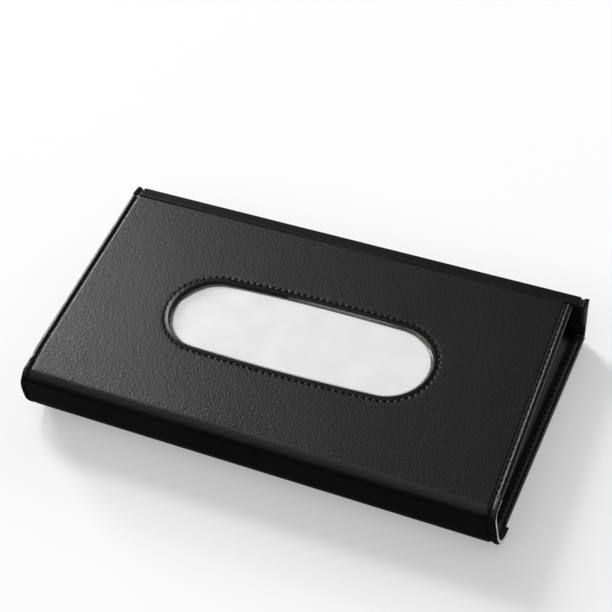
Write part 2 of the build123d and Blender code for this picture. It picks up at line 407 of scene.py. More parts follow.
def cover_columns(point, out):
    """One row of the cover: places across it, with the depth and the distance from the edge on its face."""
    boarded = 0.0
    if out.z > 0.999:
        boarded = smooth_step(point.y, CREASE_Y - CREASE_BLEND, CREASE_Y + CREASE_BLEND)
    thickness = SOFT_LEATHER + (EDGE - SOFT_LEATHER) * boarded
    turn = NOSE_TURN_IN + (TURN_IN - NOSE_TURN_IN) * boarded
    left, right = left_edge(point), right_edge(point.z)
    (x0, x1), _ = slot_window()
    inner = list(np.linspace(left + SIDE_REACH, x0, 16))[1:] + list(np.linspace(x0, x1, 64))[1:]
    inner += list(np.linspace(x1, right - SIDE_REACH, 16))[1:-1]
    return across(left, right, thickness, turn, inner)


def slot_outline(offset, count):
    """Points of the slot's outline, grown by an offset, with the outward direction at each."""
    radius = SLOT_RADIUS + offset
    straight = 2 * SLOT_HALF
    length = 2 * straight + 2 * math.pi * SLOT_RADIUS
    points = []
    for i in range(count):
        s = length * i / count
        for side in (1, -1):
            if s < straight:
                x = side * (SLOT_HALF - s)
                points.append((Vector((x, side * radius)), Vector((0, side))))
                break
            s -= straight
            if s < math.pi * SLOT_RADIUS:
                angle = math.pi / 2 + s / SLOT_RADIUS
                direction = side * Vector((math.cos(angle), math.sin(angle)))
                centre = Vector((-side * SLOT_HALF, 0))
                points.append((centre + direction * radius, direction))
                break
            s -= math.pi * SLOT_RADIUS
    middle = Vector((slot_centre.x, slot_centre.y))
    return [(p + middle, d) for p, d in points]


def slot_distance(x, y):
    """Distance outside the slot's outline."""
    dx = max(abs(x - slot_centre.x) - SLOT_HALF, 0)
    return math.hypot(dx, y - slot_centre.y) - SLOT_RADIUS


def along_slot(x, y):
    """How far along the stitch line the nearest place on it lies."""
    radius = SLOT_RADIUS + SLOT_STITCH
    dx, dy = x - slot_centre.x, y - slot_centre.y
    quarter = 2 * SLOT_HALF + math.pi * radius
    if dx < -SLOT_HALF:
        return 2 * SLOT_HALF + math.atan2(-(dx + SLOT_HALF), dy) * radius
    if dx > SLOT_HALF:
        return quarter + 2 * SLOT_HALF + math.atan2(dx - SLOT_HALF, -dy) * radius
    if dy > 0:
        return SLOT_HALF - dx
    return quarter + SLOT_HALF + dx


def slot_shape(x, y, distance):
    """Depth of the leather near the slot: a valley at the binding's foot, with a pit at each stitch."""
    valley = VALLEY * math.exp(-((max(distance - ROLL_WIDTH, 0) / VALLEY_WIDTH) ** 2))
    turn = math.pi * int(SLOT_RING / STITCH_PITCH) * along_slot(x, y) / SLOT_RING
    near = math.exp(-(((distance - SLOT_STITCH) / PIT_WIDTH) ** 2))
    pull = PULL * math.exp(-(max(distance - SLOT_STITCH, 0) / PULL_REACH))
    return valley + pull + PIT * near * math.sin(turn) ** 6


def settle(point):
    """Moves a point near the slot to where the sewn slot lies, which is not quite a true oval."""
    u, w = (point.x - slot_centre.x) / MM, (point.y - slot_centre.y) / MM
    near = 1 - smooth_step(slot_distance(point.x, point.y), SETTLE_FULL, SETTLE_END)
    growth = max(SLOT_BULGE - SLOT_BULGE_FADE * u * u, -SLOT_BULGE) * max(min(w * MM / SLOT_RADIUS, 1), -1)
    move = Vector((SLOT_SHIFT - SLOT_SHORTER * u, SLOT_SHIFT + SLOT_SKEW * u + growth, 0))
    return point + move * (near * MM)


def front_leather(material):
    """The front panel's leather, which runs on round the nose, with the slot cut out."""
    profile = cover_profile()
    rows = [cover_columns(point, out) for point, out in profile]
    count = len(rows[0])
    verts = []
    for (point, out), columns in zip(profile, rows):
        flat = out.z > 0.999
        for x, depth, edge in columns:
            if edge is not None:
                depth += dip(edge)
                if flat:
                    depth += slot_shape(x, point.y, slot_distance(x, point.y)) - softness(x, point.y)
            verts.append(point - out * depth + Vector((x, 0, 0)))
    (x0, x1), (y0, y1) = slot_window()
    inside_row = [y0 - MM / 10 < p.y < y1 + MM / 10 and out.z > 0.999 for p, out in profile]
    inside_column = [edge is not None and x0 - MM / 10 < x < x1 + MM / 10 for x, _, edge in rows[0]]

    def in_window(i, j):
        return inside_row[i] and inside_row[i + 1] and inside_column[j] and inside_column[j + 1]

    faces = grid_faces(len(rows), count, in_window)
    fill_window(verts, faces, inside_row, inside_column, count)
    verts = [settle(v) if v.z > TOP - 3 * MM else v for v in verts]
    obj = make_mesh("front_leather", verts, faces, material)
    return thicken(orient(obj, top_down, weld=True), SKIN)


def fill_window(verts, faces, inside_row, inside_column, count):
    """Joins the grid round the window to rings that follow the slot."""
    rows = [i for i, inside in enumerate(inside_row) if inside]
    columns = [j for j, inside in enumerate(inside_column) if inside]
    points, index = [], []
    for i in rows:
        for j in columns:
            v = verts[i * count + j]
            border = i in (rows[0], rows[-1]) or j in (columns[0], columns[-1])
            if border or slot_distance(v.x, v.y) > 10 * MM:
                points.append(Vector((v.x, v.y)))
                index.append(i * count + j)
    rings = [(BINDING_WALL, 200), (1.4 * MM, 300)]
    rings += [(SLOT_STITCH + k * MM, 1100) for k in (-0.7, -0.45, -0.22, 0, 0.22, 0.45, 0.7, 1.0)]
    rings += [(SLOT_STITCH + 1.5 * MM, 600), (4.6 * MM, 300), (6.2 * MM, 190), (8.2 * MM, 190)]
    for offset, spots in rings:
        for p, _ in slot_outline(offset, spots):
            depth = slot_shape(p.x, p.y, offset) - softness(p.x, p.y)
            index.append(len(verts))
            verts.append(Vector((p.x, p.y, TOP - depth)))
            points.append(p)
    places, _, triangles, origins = delaunay_2d_cdt(points, [], [], 0, 1e-7)[:4]
    for triangle in triangles:
        centre = sum((Vector(places[k]) for k in triangle), Vector((0, 0))) / 3
        if slot_distance(centre.x, centre.y) > BINDING_WALL * 0.98:
            faces.append(tuple(index[origins[k][0]] for k in triangle))


def slot_rim(material):
    """The rolled binding of the slot: sloping roll, crease, wall and sewn flange in one closed section."""
    under = binding_low.z - TOP
    foot = -VALLEY - ROLL_STEP
    section = [(0.0, LEDGE_REACH - LEDGE_DEPTH), (-LEDGE_REACH, -LEDGE_DEPTH)]
    section += [(0.0, -LEDGE_DEPTH - LEDGE_REACH), (0.0, under * 0.8), (0.0, under)]
    section += [(BINDING_FLANGE, under), (BINDING_FLANGE, under + 0.55 * MM)]
    section += [(BINDING_WALL, under + 0.6 * MM), (BINDING_WALL, foot - 0.2 * MM)]
    section += [(ROLL_WIDTH - 0.1 * MM, foot - 0.2 * MM), (ROLL_WIDTH, foot)]
    run = ROLL_WIDTH - 0.1 * MM - ROLL_CREST
    for i in range(9):
        share = 1 - i / 8
        section.append((ROLL_CREST + run * share, ROLL_RISE - ROLL_DROP * share ** 1.2))
    for i in range(1, 6):
        angle = math.pi / 2 * i / 5
        section.append((ROLL_CREST * (1 - math.sin(angle)), ROLL_RISE - ROLL_CREST * (1 - math.cos(angle))))
    loops = []
    for p, out in slot_outline(0, 240):
        side = Vector((out.x, out.y, 0))
        loops.append([settle(Vector((p.x, p.y, TOP)) + side * a + Vector((0, 0, z))) for a, z in section])
    return loft("slot_rim", loops, material, cap=False)


# Back panel and flap

def back_right(y):
    """The back panel's right edge, which runs outwards from the nose to the flap."""
    return back_high.x - BACK_SHORTFALL * min((back_high.y - y) / (back_high.y - SEAM_Y), 1)


def back_leather(material):
    """The back panel's leather: turned over the board at both ends and at the back."""
    radius = EDGE / 2
    rows = [SEAM_Y + 2.5 * MM * i for i in range(46)]
    rows = [y for y in rows if y < back_high.y - 5 * MM]
    rows += [back_high.y - 4.8 * MM + FINE_STEP * i for i in range(12)]
    rows += [back_high.y - radius + radius * math.sin(math.pi / 2 * i / 8) for i in range(9)]
    loops = []
    for y in rows:
        inset = 0.0
        if y > back_high.y - radius:
            inset = radius - math.sqrt(max(radius ** 2 - (y - back_high.y + radius) ** 2, 1e-12))
        loops.append(plate_loop(back_low.x, back_right(y), y, inset, back_high.y - y))
    return loft("back_leather", loops, material)


def plate_loop(left, right, y, inset, end_distance):
    """A section of the back panel: half-round edges and a stitched groove on both faces."""
    radius = EDGE / 2
    flat = max(radius - inset, 0.02 * MM)
    middle = BASE + radius
    points = []
    steps = [radius + FINE_STEP * i for i in range(14)]
    xs = [left + a for a in steps]
    xs += list(np.linspace(left + radius + FINE_REACH, right - radius - FINE_REACH, 60))
    xs += [right - a for a in reversed(steps)]
    for side in (1, -1):
        line = xs if side > 0 else xs[::-1]
        for x in line:
            distance = min(x - left, right - x, end_distance if end_distance > 0 else 1)
            points.append(Vector((x, y, middle + side * (flat - dip(distance)))))
        for i in range(1, 8):
            angle = math.pi / 2 - math.pi * i / 8
            end = right - radius if side > 0 else left + radius
            x = end + side * radius * math.cos(angle)
            points.append(Vector((x, y, middle + side * flat * math.sin(angle))))
    return points


def flap_profile():
    """The flap's outer line: the sloping strip, the corner, the wall and its rolled foot."""
    y0, y1 = flap_low.y, flap_high.y
    foot = EDGE / 2
    points = []
    up = Vector((0, FLAP_DROP, y1 - y0)).normalized()
    for i in range(8):
        share = i / 8
        y = y0 + (y1 - FLAP_CORNER - y0) * share
        points.append((Vector((0, y, TOP - FLAP_DROP * share)), up, SOFT_LEATHER))
    top_z = TOP - FLAP_DROP - FLAP_CORNER
    for place, out in arc(y1 - FLAP_CORNER, top_z, FLAP_CORNER, 84, 0, 8):
        points.append((place, out, SOFT_LEATHER))
    for k in range(1, 15):
        z = top_z + (flap_low.z + foot - top_z) * k / 15
        boarded = smooth_step(top_z - z, 0, FLAP_BOARD_START)
        thickness = SOFT_LEATHER + (EDGE - SOFT_LEATHER) * boarded
        points.append((Vector((0, y1, z)), Vector((0, 1, 0)), thickness))
    for place, out in arc(y1 - foot, flap_low.z + foot, foot, 0, -180, 12):
        points.append((place, out, EDGE))
    return points


def flap_leather(material):
    """The flap's leather, turned in at both ends and along its lower edge."""
    profile = flap_profile()
    verts = []
    fold_z = flap_low.z + EDGE / 2
    inner = np.linspace(flap_low.x + SIDE_REACH, flap_high.x - SIDE_REACH, 70)[1:-1]
    for point, out, thickness in profile:
        line = across(flap_low.x, flap_high.x, thickness, TURN_IN, inner)
        count = len(line)
        for x, depth, edge in line:
            if edge is not None:
                depth += max(dip(edge), dip(max(point.z - flap_low.z, 0)) * (out.y > 0.9))
                depth -= softness(x, point.z + 1) * 0.7
            elif point.z < fold_z + MM / 10:
                depth = min(depth, EDGE / 2)
            verts.append(point - out * depth + Vector((x, 0, 0)))
    for k in range(1, 4):
        z = fold_z + TURN_IN * k / 3
        verts += [Vector((v.x, flap_high.y - EDGE, z)) for v in verts[-count:]]
    obj = make_mesh("flap_leather", verts, grid_faces(len(profile) + 3, count), material)
    return thicken(orient(obj, top_down), FLAP_SKIN)


# Gussets

def nose_inner(y):
    """Lowest and highest place inside the nose's layers at a given Y."""
    low, high = BASE + EDGE, TOP - EDGE
    inner = NOSE_BOTTOM_RADIUS - EDGE
    if y < SEAM_Y:
        rise = inner ** 2 - (y - SEAM_Y) ** 2
        low = BASE + NOSE_BOTTOM_RADIUS - math.sqrt(max(rise, 0))
    y1, small = NOSE_Y + NOSE_TOP_RADIUS, NOSE_TOP_RADIUS - EDGE
    if y < y1:
        high = TOP - NOSE_TOP_RADIUS + math.sqrt(max(small ** 2 - (y - y1) ** 2, 0))
    return low, high


def gusset(name, side, material):
    """One side's V-folded strip, sewn along the front and back panels and round the inside of the nose."""
    start, end = NOSE_Y + EDGE + 0.6 * MM, flap_high.y - EDGE - 0.4 * MM
    ys = [start + (SEAM_Y - start) * (i / 14) ** 1.6 for i in range(15)]
    ys += list(np.linspace(SEAM_Y, end, 40))[1:]
    full = TOP - BASE - 2 * EDGE
    loops = []
    for y in ys:
        low, high = nose_inner(y)
        edge_top = cover_high.x if side > 0 else -cover_low.x
        edge_low = back_right(y) if side > 0 else -back_low.x
        loops.append([Vector((side * x, y, z)) for x, z in gusset_line(edge_top, edge_low, low, high, full)])
    verts = [p for loop in loops for p in loop]
    obj = make_mesh(name, verts, grid_faces(len(loops), len(loops[0])), material)
    middle = (BASE + TOP) / 2

    def inwards(faces):
        slopes = [f for f in faces if abs(f.calc_center_median().z - middle) > 4 * MM]
        return sum(f.normal.x * side for f in slopes if abs(f.normal.x) > 0.3) < 0

    return thicken(orient(obj, inwards), GUSSET_SKIN)


def gusset_line(edge_top, edge_low, low, high, full):
    """The fold line of a gusset: upper flange, slope in, round crease, slope out, lower flange."""
    low, high = low + GUSSET_SKIN + GAP, high - GAP
    height = max(high - low, 0.4 * MM)
    depth = GUSSET_DEPTH * min(height / full, 1)
    crease = edge_top - GUSSET_MARGIN - GUSSET_FLANGE - depth
    middle = (low + high) / 2
    halves = []
    for edge, level, way in ((edge_top, high, 1), (edge_low, low, -1)):
        end = edge - GUSSET_MARGIN
        heel = end - GUSSET_FLANGE
        half = [(end, level), (heel + 1.2 * MM, level), (heel + 0.3 * MM, level - way * 0.25 * MM)]
        for i in range(1, 7):
            t = i / 7
            bulge = GUSSET_BULGE * math.sin(math.pi * t) * height / full
            half.append((heel + (crease - heel) * t + bulge, level + (middle - level) * t))
        half.append((crease + 0.25 * MM, middle + way * 0.3 * MM))
        halves.append(half)
    return halves[0] + [(crease, middle)] + halves[1][::-1]


# Stitches

def stitch_mesh(name, path, length=STITCH_LENGTH, thread=THREAD, sunk=SUNK):
    """A row of stitches along a path of (place, outward direction) pairs."""
    lengths = [0.0]
    for (p, _), (q, _) in zip(path, path[1:]):
        lengths.append(lengths[-1] + (q - p).length)
    count = max(1, int(lengths[-1] / STITCH_PITCH))
    step = lengths[-1] / count
    verts, faces = [], []
    for k in range(count):
        s = (k + 0.5) * step
        place, out = along(path, lengths, s)
        ahead, _ = along(path, lengths, s + length * 0.25)
        behind, _ = along(path, lengths, s - length * 0.25)
        way = (ahead - behind).normalized()
        side = way.cross(out).normalized()
        add_stitch(verts, faces, place - out * sunk, way, side, out, length, thread)
    return make_mesh(name, verts, faces, THREAD_BLACK)


def along(path, lengths, s):
    """Place and outward direction at a length along a path."""
    s = min(max(s, 0), lengths[-1])
    i = min(int(np.searchsorted(lengths, s, side="right")) - 1, len(path) - 2)
    t = (s - lengths[i]) / max(lengths[i + 1] - lengths[i], 1e-9)
    place = path[i][0].lerp(path[i + 1][0], t)
    out = path[i][1].lerp(path[i + 1][1], t).normalized()
    return place, out


def add_stitch(verts, faces, place, way, side, out, length, thread):
    """One stitch: a twisted grain of thread whose ends dive into the leather."""
    first = len(verts)
    rings, sides = 7, 6
    for i in range(rings):
        t = i / (rings - 1) * 2 - 1
        bow = (1 - t * t) ** 0.5 if abs(t) < 1 else 0.0
        radius = thread / 2 * max(bow, 0.35) ** 0.6
        centre = place + way * (length / 2 * t) + out * (thread * (0.55 * bow - 0.3))
        for j in range(sides):
            angle = 2 * math.pi * j / sides + t * 1.2
            verts.append(centre + side * (radius * math.cos(angle)) + out * (radius * math.sin(angle)))
    for i in range(rings - 1):
        for j in range(sides):
            k = (j + 1) % sides
            a, b = first + i * sides, first + (i + 1) * sides
            faces.append((a + j, a + k, b + k, b + j))
    faces.append(tuple(first + j for j in range(sides))[::-1])
    faces.append(tuple(first + (rings - 1) * sides + j for j in range(sides)))


# Tissues

def tissue_height(x, y):
    """Height of the top tissue over its resting level: raised in the slot, creased at its left end."""
    inside = -slot_distance(x, y)
    left = smooth_step(slot_centre.x - x, 30 * MM, 62 * MM)
    folds = (x * 0.45 + y) / (17 * MM)
    ridge = 0.5 + 0.5 * math.sin(2 * math.pi * folds + 3.4 * ripple(x, y, 24, 24, 3.0))
    small = ripple(x, y, 9, 9, 7.0)
    wide = ripple(x, y, 55, 40, 1.0)
    wander = 0.6 * MM * left * (0.5 + ripple(x, y, 5, 5, 5.0))
    end = smooth_step(slot_centre.x - x, 45 * MM, 62 * MM)
    trench = TISSUE_TRENCH * (1 + 1.6 * end)
    raised = -trench * smooth_step(inside, -3 * MM, -1 * MM)
    back = smooth_step(y - slot_centre.y, 0, SLOT_RADIUS)
    inside -= wander + TISSUE_GAP + TISSUE_END_GAP * end + TISSUE_BACK_GAP * back
    raised += (trench + TISSUE_RISE * (1 - 0.45 * left)) * smooth_step(inside, 0, TISSUE_FLANK)
    creases = 0.5 * MM * left * (ridge ** 2 - 0.4)
    return raised + creases + 0.05 * MM * small * (0.3 + left) + 0.08 * MM * wide


def dense_between(start, low, high, end, fine, coarse):
    """Places from start to end, close together from low to high."""
    first = np.linspace(start, low, max(2, int((low - start) / coarse) + 1))[:-1]
    middle = np.linspace(low, high, int((high - low) / fine) + 1)
    last = np.linspace(high, end, max(2, int((end - high) / coarse) + 1))[1:]
    return list(first) + list(middle) + list(last)


def top_tissue(material):
    """The first tissue: folded once, its upper layer raised through the slot."""
    x0, x1, y0, y1 = sheet_low.x, sheet_high.x, sheet_low.y, sheet_high.y
    low, high = sheet_low.z, sheet_high.z
    reach_x, reach_y = SLOT_HALF + SLOT_RADIUS, SLOT_RADIUS
    xs = dense_between(x0, slot_centre.x - reach_x, slot_centre.x + reach_x, x1, TISSUE_FINE_X, 2 * MM)
    ys = dense_between(y0, slot_centre.y - reach_y, slot_centre.y + reach_y, y1, TISSUE_FINE_Y, 2 * MM)
    rows = [(y1 + (y0 - y1) * i / 12, 0.0) for i in range(13)]
    rows += [(y0, i / 7) for i in range(1, 7)]
    rows += [(y, 1.0) for y in ys]
    verts = []
    for y, level in rows:
        for x in xs:
            edge = min(x - x0, x1 - x, y - y0, y1 - y)
            rise = smooth_step(edge, -1 * MM, 12 * MM)
            settled = low + 0.55 * MM + (high - low - 0.9 * MM) * rise
            upper = settled + tissue_height(x, y) * rise
            lower = low + GAP
            z = lower + (upper - lower) * level
            bow = 0.3 * MM * math.sin(math.pi * level) if y == y0 else 0.0
            place = Vector((x, y - bow + 0.4 * MM * (y == y0), z))
            verts.append(settle(place) if level == 1.0 else place)
    return make_mesh("top_tissue_sheet", verts, grid_faces(len(rows), len(xs)), material)


def tissue_pile(material):
    """The folded tissues below: a soft block with the edges of its layers showing."""
    low, high = stack_low, stack_high
    loops = []
    for k in range(2 * PILE_LAYERS + 1):
        t = k / (2 * PILE_LAYERS)
        z = low.z + (high.z - low.z) * t
        groove = 0.0 if k % 2 == 0 else 0.35 * MM
        shift = 0.3 * MM * noise.noise(Vector((k * 1.7, 0.0, 0.0)))
        top = 2.2 * MM * smooth_step(t, 0.86, 1.0)
        inset = 0.4 * MM + groove + abs(shift) + top
        loop = rounded_loop(low.x + inset, high.x - inset, low.y + inset, high.y - inset, PILE_CORNER, 9)
        loops.append([Vector((x, y, z)) for x, y in loop])
    return loft("tissue_pile", loops, material)


# Straps

def strap_half(name, body, way, material):
    """Half of an elastic strap, from its sewn end to its middle."""
    low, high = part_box(body)
    end_low, end_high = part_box(body.replace("strap_", "strap_ends_"))
    middle = (end_low.y + end_high.y) / 2
    outer = end_low.y if way > 0 else end_high.y
    loops = [strap_loop(low.x, high.x, y, high.z) for y in np.linspace(outer, middle, 41)]
    obj = loft(name, loops, material)
    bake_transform(obj)
    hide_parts(body, body.replace("strap_", "strap_ends_"))
    return obj


def strap_loop(x0, x1, y, height):
    """The strap's section: two faces with fine lengthwise ribs and rounded selvedges."""
    points = []
    count = STRAP_RIBS * 4
    radius = height / 2
    for side in (1, -1):
        for i in range(count + 1):
            t = i / count
            t = t if side > 0 else 1 - t
            x = x0 + radius + (x1 - x0 - 2 * radius) * t
            groove = RIB_HEIGHT * abs(math.cos(math.pi * STRAP_RIBS * t))
            points.append(Vector((x, y, radius + side * (radius - groove))))
    return points


# Materials

def node_material(name, roughness, specular=0.5):
    """A new material with its Principled shader at a roughness and specular level."""
    material = bpy.data.materials.new(name)
    material.use_nodes = True
    tree = material.node_tree
    shader = tree.nodes["Principled BSDF"]
    shader.inputs["Roughness"].default_value = roughness
    shader.inputs["Specular IOR Level"].default_value = specular
    return material, tree, shader


def add_node(tree, kind, inputs=None, **settings):
    """A shader node with its settings and unlinked inputs."""
    node = tree.nodes.new(kind)
    for key, value in settings.items():
        setattr(node, key, value)
    for key, value in (inputs or {}).items():
        node.inputs[key].default_value = value
    return node


def texture(tree, kind, inputs, **settings):
    """The value of a procedural texture in the object's own frame."""
    place = add_node(tree, "ShaderNodeTexCoord").outputs["Object"]
    node = add_node(tree, "ShaderNodeTex" + kind, inputs, **settings)
    tree.links.new(place, node.inputs["Vector"])
    return node.outputs["Distance" if kind == "Voronoi" else "Fac"]


def combine(tree, kind, operation, *values):
    """A math node on values, each of them linked or plain."""
    node = add_node(tree, "ShaderNode" + kind, operation=operation)
    for socket, value in zip(node.inputs, values):
        if isinstance(value, bpy.types.NodeSocket):
            tree.links.new(value, socket)
        else:
            socket.default_value = value
    return node.outputs["Value" if operation == "LENGTH" else 0]


def relief(tree, shader, height, strength, distance):
    """Fine bumps on a surface, of a height in mm."""
    bump = add_node(tree, "ShaderNodeBump", {"Strength": strength, "Distance": distance * MM})
    tree.links.new(height, bump.inputs["Height"])
    tree.links.new(bump.outputs["Normal"], shader.inputs["Normal"])


def paint(tree, shader, source, *stops):
    """A colour that runs between two stops of a value."""
    ramp = add_node(tree, "ShaderNodeValToRGB")
    for element, (place, colour) in zip(ramp.color_ramp.elements, stops):
        element.position = place
        element.color = (*colour, 1)
    tree.links.new(source, ramp.inputs["Fac"])
    tree.links.new(ramp.outputs["Color"], shader.inputs["Base Color"])


def uneven_gloss(tree, shader, source, low, high):
    """A roughness that runs between two levels with a value."""
    gloss = add_node(tree, "ShaderNodeMapRange", {"To Min": low, "To Max": high})
    tree.links.new(source, gloss.inputs["Value"])
    tree.links.new(gloss.outputs["Result"], shader.inputs["Roughness"])


def leather_material(name, base, roughness, grain=0.32, specular=LEATHER_SPECULAR):
    """Fine-grained artificial leather: pebbles, pores, and slightly uneven colour and gloss."""
    material, tree, shader = node_material(name, roughness, specular)
    pebbles = texture(tree, "Voronoi", {"Scale": 1150.0, "Randomness": 0.9}, feature="F1")
    wide = texture(tree, "Noise", {"Scale": 620.0, "Detail": 4.0, "Roughness": 0.55})
    fine = texture(tree, "Noise", {"Scale": 2600.0, "Detail": 2.0})
    cloud = texture(tree, "Noise", {"Scale": 28.0, "Detail": 3.0})
    mixed = combine(tree, "Math", "MULTIPLY_ADD", wide, 0.9, pebbles)
    relief(tree, shader, combine(tree, "Math", "MULTIPLY_ADD", fine, 0.35, mixed), grain, 0.22)
    paint(tree, shader, cloud, (0.3, [c * 0.82 for c in base]), (0.7, [c * 1.22 for c in base]))
    uneven_gloss(tree, shader, wide, roughness - 0.05, roughness + 0.07)
    return material


def thread_material():
    """Black polyester thread with the twist of its plies."""
    material, tree, shader = node_material("black_thread", 0.6, 0.08)
    twist = texture(tree, "Wave", {"Scale": 900.0, "Distortion": 1.0}, bands_direction="DIAGONAL")
    relief(tree, shader, twist, 0.5, 0.1)
    paint(tree, shader, twist, (0.2, (0.003, 0.003, 0.003)), (0.8, (0.007, 0.007, 0.007)))
    return material


def webbing_material():
    """Woven black elastic: ribs along it and picks across it."""
    material, tree, shader = node_material("elastic_webbing", 0.8)
    picks = texture(tree, "Wave", {"Scale": 260.0, "Distortion": 0.6}, bands_direction="Y")
    ribs = texture(tree, "Wave", {"Scale": 340.0, "Distortion": 0.3}, bands_direction="X")
    fuzz = texture(tree, "Noise", {"Scale": 3000.0})
    weave = combine(tree, "Math", "MULTIPLY", picks, ribs)
    relief(tree, shader, combine(tree, "Math", "MULTIPLY_ADD", fuzz, 0.3, weave), 0.7, 0.3)
    paint(tree, shader, weave, (0.1, (0.008, 0.008, 0.009)), (0.9, (0.035, 0.035, 0.037)))
    shader.inputs["Sheen Weight"].default_value = 0.15
    return material


def tissue_material(name, strength=0.25):
    """Soft white tissue paper with faint fibres and an embossed tooth."""
    material, tree, shader = node_material(name, 0.95, 0.15)
    fibres = texture(tree, "Noise", {"Scale": 1400.0, "Detail": 5.0, "Distortion": 0.6})
    cloud = texture(tree, "Noise", {"Scale": 60.0, "Detail": 2.0})
    relief(tree, shader, fibres, strength, 0.15)
    paint(tree, shader, cloud, (0.3, (0.80, 0.80, 0.81)), (0.7, (0.86, 0.86, 0.865)))
    return material


def plain_surface(name, base, roughness, scale, strength, metallic=0.0):
    """A material with a fine surface texture: board, lining, plastic sheet or plated metal."""
    material, tree, shader = node_material(name, roughness)
    grain = texture(tree, "Noise", {"Scale": scale, "Detail": 4.0})
    relief(tree, shader, grain, strength, 0.2)
    paint(tree, shader, grain, (0.3, [c * 0.85 for c in base]), (0.7, [min(c * 1.1, 0.95) for c in base]))
    uneven_gloss(tree, shader, grain, roughness - 0.05, roughness + 0.05)
    shader.inputs["Metallic"].default_value = metallic
    return material


LEATHER = leather_material("black_leather", BLACK, 0.33)
RIM_LEATHER = leather_material("rim_leather", BLACK, 0.26, grain=0.04)
# Painted sheen and shade: copies of the black leather for the nose's bend, one for each row of the table
# above
NOSE_SHEEN_AND_SHADE_LEATHERS = [
    leather_material(f"nose_sheen_and_shade_leather_{tilt}", BLACK, roughness, specular=specular)
    for tilt, roughness, specular in NOSE_SHEEN_AND_SHADE
]
GUSSET_LEATHER = leather_material("gusset_leather", (0.009, 0.009, 0.0094), 0.42, specular=0.13)
THREAD_BLACK = thread_material()
WEBBING = webbing_material()
TISSUE = tissue_material("tissue_paper")
PILE = tissue_material("tissue_pile", 0.4)
BOARD = plain_surface("grey_board", (0.42, 0.38, 0.31), 0.85, 700.0, 0.4)
LINING = plain_surface("black_lining", (0.018, 0.018, 0.019), 0.9, 1900.0, 0.6)
STIFFENER = plain_surface("white_sheet", (0.8, 0.8, 0.79), 0.45, 900.0, 0.15)
MAGNET = plain_surface("nickel_plate", (0.62, 0.61, 0.58), 0.28, 500.0, 0.05, metallic=1.0)


# Pieces on their bodies

def dress(obj, body, slot, *nodes):
    """A piece rides on its body and stands for its nodes, which it hides; the slot is not used."""
    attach(obj, body)
    if nodes:
        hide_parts(*nodes)
    return obj


def bend_at_nose(obj):
    """Bakes the transform of leather that crosses the cover's crease into its mesh."""
    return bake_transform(obj)


def paint_nose_sheen_and_shade(obj):
    """Gives the leather painted sheen and shade over the bend: by each face's tilt, copies with more gloss
    where the bend starts, then duller and duller towards the nose, which so reads dark.
    """
    for material in NOSE_SHEEN_AND_SHADE_LEATHERS:
        obj.data.materials.append(material)
    for face in obj.data.polygons:
        ahead = NOSE_Y + NOSE_TOP_RADIUS - face.center.y
        if ahead > 0:
            tilt = 90.0
            if face.center.z > TOP - NOSE_TOP_RADIUS:
                tilt = math.degrees(math.atan2(ahead, face.center.z - TOP + NOSE_TOP_RADIUS))
            face.material_index = sum(tilt > start for start, _, _ in NOSE_SHEEN_AND_SHADE)


def build_cover():
    """The leather over the front panel and nose, with the slot's binding."""
    leather = front_leather(LEATHER)
    # Painted sheen and shade over the bend to the nose
    paint_nose_sheen_and_shade(leather)
    bend_at_nose(leather)
    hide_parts("front_panel_skin", "spine_skin")
    dress(slot_rim(RIM_LEATHER), "front_cover", "leather", "slot_binding")


def edge_path(side):
    """The stitch line along one end of the cover, from the flap's hinge round the nose."""
    path = []
    for point, out in cover_profile():
        x = right_edge(point.z) - STITCH_INSET if side > 0 else left_edge(point) + STITCH_INSET
        path.append((point - out * GROOVE_DEPTH + Vector((x, 0, 0)), out))
    return path[1:-3]


def stitch_row(name, body, corners, out, steps=40):
    """A row of stitches through corners, all with one outward direction, that rides on one body."""
    path = []
    for a, b in zip(corners, corners[1:]):
        path += [(a.lerp(b, i / steps), out) for i in range(steps)]
    path.append((corners[-1], out))
    dress(stitch_mesh(name, path), body, "leather")


def build_stitches():
    """Stitch rows of the cover, slot, back panel, gussets and flap."""
    for name, side in (("left", -1), ("right", 1)):
        path = edge_path(side)
        row = stitch_mesh("cover_stitches_" + name, path, EDGE_STITCH_LENGTH, EDGE_THREAD, EDGE_SUNK)
        bend_at_nose(row)
    ring = [(settle(Vector((p.x, p.y, TOP - PULL))), UP) for p, _ in slot_outline(SLOT_STITCH, 400)]
    ring += ring[:1]
    row = stitch_mesh("slot_stitches", ring, SLOT_STITCH_LENGTH, SLOT_THREAD, SLOT_SUNK)
    dress(row, "front_cover", "leather")
    build_back_stitches()
    build_flange_stitches()
    build_flap_stitches()


def build_back_stitches():
    """A row on the back panel's underside along its ends and back edge, and one inside at the back."""
    front, back = SEAM_Y + 3 * MM, back_high.y - STITCH_INSET
    left = back_low.x + STITCH_INSET
    right_back, right_front = back_right(back) - STITCH_INSET, back_right(front) - STITCH_INSET
    corners = [(left, front), (left, back), (right_back, back), (right_front, front)]
    outer = [Vector((x, y, BASE + GROOVE_DEPTH)) for x, y in corners]
    stitch_row("back_stitches_outer", "back_shell", outer, -UP)
    inner = [Vector((x, back, BASE + EDGE - GROOVE_DEPTH)) for x in (left, right_back)]
    stitch_row("back_stitches_inner", "back_shell", inner, UP)


def build_flange_stitches():
    """The rows that hold the gussets' lower flanges to the back panel."""
    level = BASE + EDGE + GUSSET_SKIN + GAP
    front, back = SEAM_Y + MM, flap_high.y - EDGE - 2 * MM
    for name, side in (("left", -1), ("right", 1)):
        ends = []
        for y in (front, back):
            edge = back_right(y) if side > 0 else back_low.x
            ends.append(Vector((edge - side * FLANGE_STITCH, y, level)))
        stitch_row("flange_stitches_" + name, "back_shell", ends, UP, 80)


